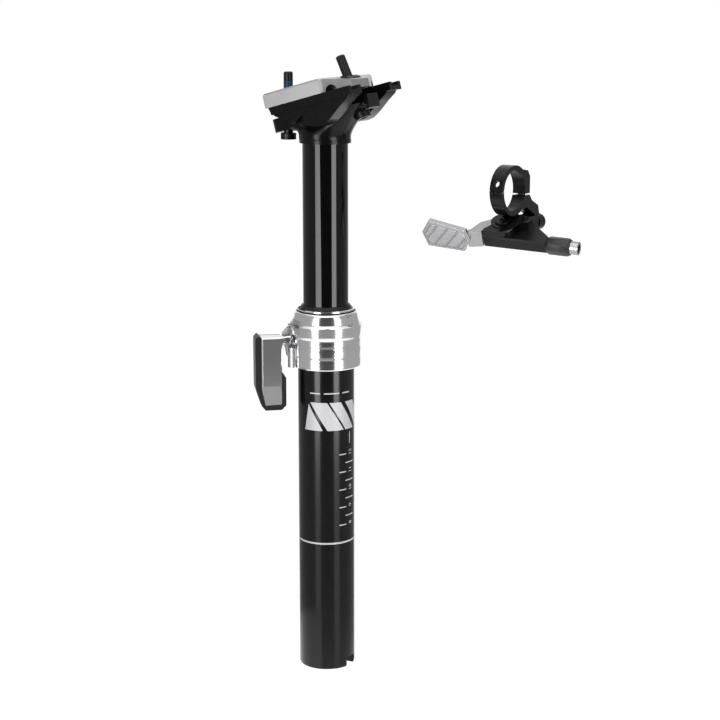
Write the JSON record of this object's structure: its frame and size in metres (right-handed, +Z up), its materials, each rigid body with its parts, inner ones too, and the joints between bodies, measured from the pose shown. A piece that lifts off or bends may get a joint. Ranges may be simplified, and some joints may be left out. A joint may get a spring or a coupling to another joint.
{
  "type": "dropper seatpost",
  "caption": "Height-adjustable bicycle seat post with a sliding stanchion, twin-bolt saddle clamp, collar release lever and a separate handlebar thumb remote with a hinged bar clamp",
  "frame": {"origin": "centre of the post's lower end, on the axis of the tube that the seat tube holds", "axes": "+Z up along the post, +X towards the front of the bicycle, +Y towards its left"},
  "size_m": [0.1608, 0.1094, 0.3379],
  "materials": {
    "adjuster_barrel": "satin black anodised aluminium",
    "adjuster_sleeve": "bright machined aluminium",
    "band_bolt": "plated steel",
    "barrel_nut_front": "black oxide steel",
    "barrel_nut_rear": "black oxide steel",
    "base_cap": "satin black anodised aluminium",
    "bump_stop": "black rubber",
    "clamp_band": "satin black anodised aluminium",
    "clamp_bolt_front": "black oxide steel",
    "clamp_bolt_rear": "black oxide steel",
    "clamp_bracket": "satin black anodised aluminium",
    "clamp_end_front": "silver blasted aluminium",
    "clamp_end_rear": "silver blasted aluminium",
    "collar_set_screw": "black oxide steel",
    "cylinder_gland": "bright machined aluminium",
    "gas_cylinder": "plated steel",
    "gas_rod": "plated steel",
    "guide_key_1": "machined brass",
    "guide_key_2": "machined brass",
    "guide_key_3": "machined brass",
    "head_forging": "satin black anodised aluminium",
    "hinge_pin": "plated steel",
    "lever_pad": "black rubber",
    "lever_pin": "plated steel",
    "lower_bushing": "moulded polymer",
    "lower_cradle": "satin black anodised aluminium",
    "lower_tube": "satin black anodised aluminium",
    "mount_bolt": "black oxide steel",
    "perch_body": "satin black anodised aluminium",
    "piston": "bright machined aluminium",
    "pivot_bolt": "plated steel",
    "rail_clamp_left": "silver blasted aluminium",
    "rail_clamp_right": "silver blasted aluminium",
    "rail_trough_left": "satin black anodised aluminium",
    "rail_trough_right": "satin black anodised aluminium",
    "release_lever": "bright machined aluminium",
    "release_plunger": "plated steel",
    "rod_nut": "plated steel",
    "stanchion_tube": "gloss black anodised aluminium",
    "thumb_lever": "silver blasted aluminium",
    "upper_bushing": "moulded polymer",
    "upper_clamp": "silver blasted aluminium",
    "upper_collar": "bright machined aluminium",
    "wiper_seal": "black rubber"
  },
  "bodies": {
    "base": {"base_cap": "base_cap", "lower_tube": "lower_tube", "rod_nut": "rod_nut", "gas_rod": "gas_rod", "piston": "piston", "bump_stop": "bump_stop", "upper_collar": "upper_collar", "collar_set_screw": "collar_set_screw", "upper_bushing": "upper_bushing", "wiper_seal": "wiper_seal", "lever_pin": "lever_pin", "perch_body": "perch_body", "clamp_bracket": "clamp_bracket", "mount_bolt": "mount_bolt", "hinge_pin": "hinge_pin", "pivot_bolt": "pivot_bolt"},
    "stanchion": {"stanchion_tube": "stanchion_tube", "head_forging": "head_forging", "lower_bushing": "lower_bushing", "guide_key_1": "guide_key_1", "guide_key_2": "guide_key_2", "guide_key_3": "guide_key_3", "gas_cylinder": "gas_cylinder", "cylinder_gland": "cylinder_gland"},
    "cradle": {"lower_cradle": "lower_cradle", "rail_trough_left": "rail_trough_left", "rail_trough_right": "rail_trough_right", "upper_clamp": "upper_clamp", "clamp_end_front": "clamp_end_front", "clamp_end_rear": "clamp_end_rear", "rail_clamp_left": "rail_clamp_left", "rail_clamp_right": "rail_clamp_right"},
    "nut_front": {"barrel_nut_front": "barrel_nut_front"},
    "nut_rear": {"barrel_nut_rear": "barrel_nut_rear"},
    "bolt_front": {"clamp_bolt_front": "clamp_bolt_front"},
    "bolt_rear": {"clamp_bolt_rear": "clamp_bolt_rear"},
    "lever": {"release_lever": "release_lever", "lever_pad": "lever_pad"},
    "plunger": {"release_plunger": "release_plunger"},
    "thumb": {"thumb_lever": "thumb_lever"},
    "band": {"clamp_band": "clamp_band", "band_bolt": "band_bolt"},
    "adjuster": {"adjuster_barrel": "adjuster_barrel", "adjuster_sleeve": "adjuster_sleeve"}
  },
  "joints": [
    {"name": "post_slide", "type": "slide", "parent": "base", "child": "stanchion", "axis": [0, 0, 1], "range_m": [-0.08, 0]},
    {"name": "cradle_tilt", "type": "hinge", "parent": "stanchion", "child": "cradle", "pos_m": [0.00388, 0, 0.31449], "axis": [0, 1, 0], "range_deg": [-8, 8]},
    {"name": "nut_front_turn", "type": "hinge", "parent": "cradle", "child": "nut_front", "pos_m": [0.02266, 0, 0.31349], "axis": [0, 1, 0], "range_deg": [-8.5, 8.5]},
    {"name": "nut_rear_turn", "type": "hinge", "parent": "cradle", "child": "nut_rear", "pos_m": [-0.0152, 0, 0.32364], "axis": [0, 1, 0], "range_deg": [-8.5, 8.5]},
    {"name": "bolt_front_turn", "type": "hinge", "parent": "stanchion", "child": "bolt_front", "pos_m": [0.02273, 0, 0.29577], "axis": [-0.0035, 0, 1], "continuous": true},
    {"name": "bolt_rear_turn", "type": "hinge", "parent": "stanchion", "child": "bolt_rear", "pos_m": [-0.02222, 0, 0.30824], "axis": [0.4147, 0, 0.91], "continuous": true},
    {"name": "lever_pivot", "type": "hinge", "parent": "base", "child": "lever", "pos_m": [0.01592, 0.01482, 0.1862], "axis": [0.6293, -0.7771, 0], "range_deg": [0, 12], "stiffness_Nm_per_rad": 0.4, "springref_deg": -5.73},
    {"name": "plunger_slide", "type": "slide", "parent": "base", "child": "plunger", "axis": [0.7771, 0.6293, 0], "range_m": [0, 0.00095]},
    {"name": "thumb_pivot", "type": "hinge", "parent": "base", "child": "thumb", "pos_m": [-0.08291, -0.04596, 0.2497], "axis": [0.0887, -0.4941, -0.8648], "range_deg": [0, 25], "stiffness_Nm_per_rad": 0.2, "springref_deg": -8.59},
    {"name": "band_hinge", "type": "hinge", "parent": "base", "child": "band", "pos_m": [-0.08433, -0.03518, 0.266], "axis": [-0.9945, 0.1045, 0], "range_deg": [0, 60]},
    {"name": "adjuster_turn", "type": "hinge", "parent": "base", "child": "adjuster", "pos_m": [-0.10887, -0.04686, 0.2383], "axis": [-0.9948, -0.087, -0.0523], "continuous": true}
  ],
  "couplings": [
    {"joint": "nut_front_turn", "follows": "cradle_tilt", "ratio": -1},
    {"joint": "nut_rear_turn", "follows": "cradle_tilt", "ratio": -1},
    {"joint": "plunger_slide", "follows": "lever_pivot", "m_per_rad": 0.0043}
  ]
}
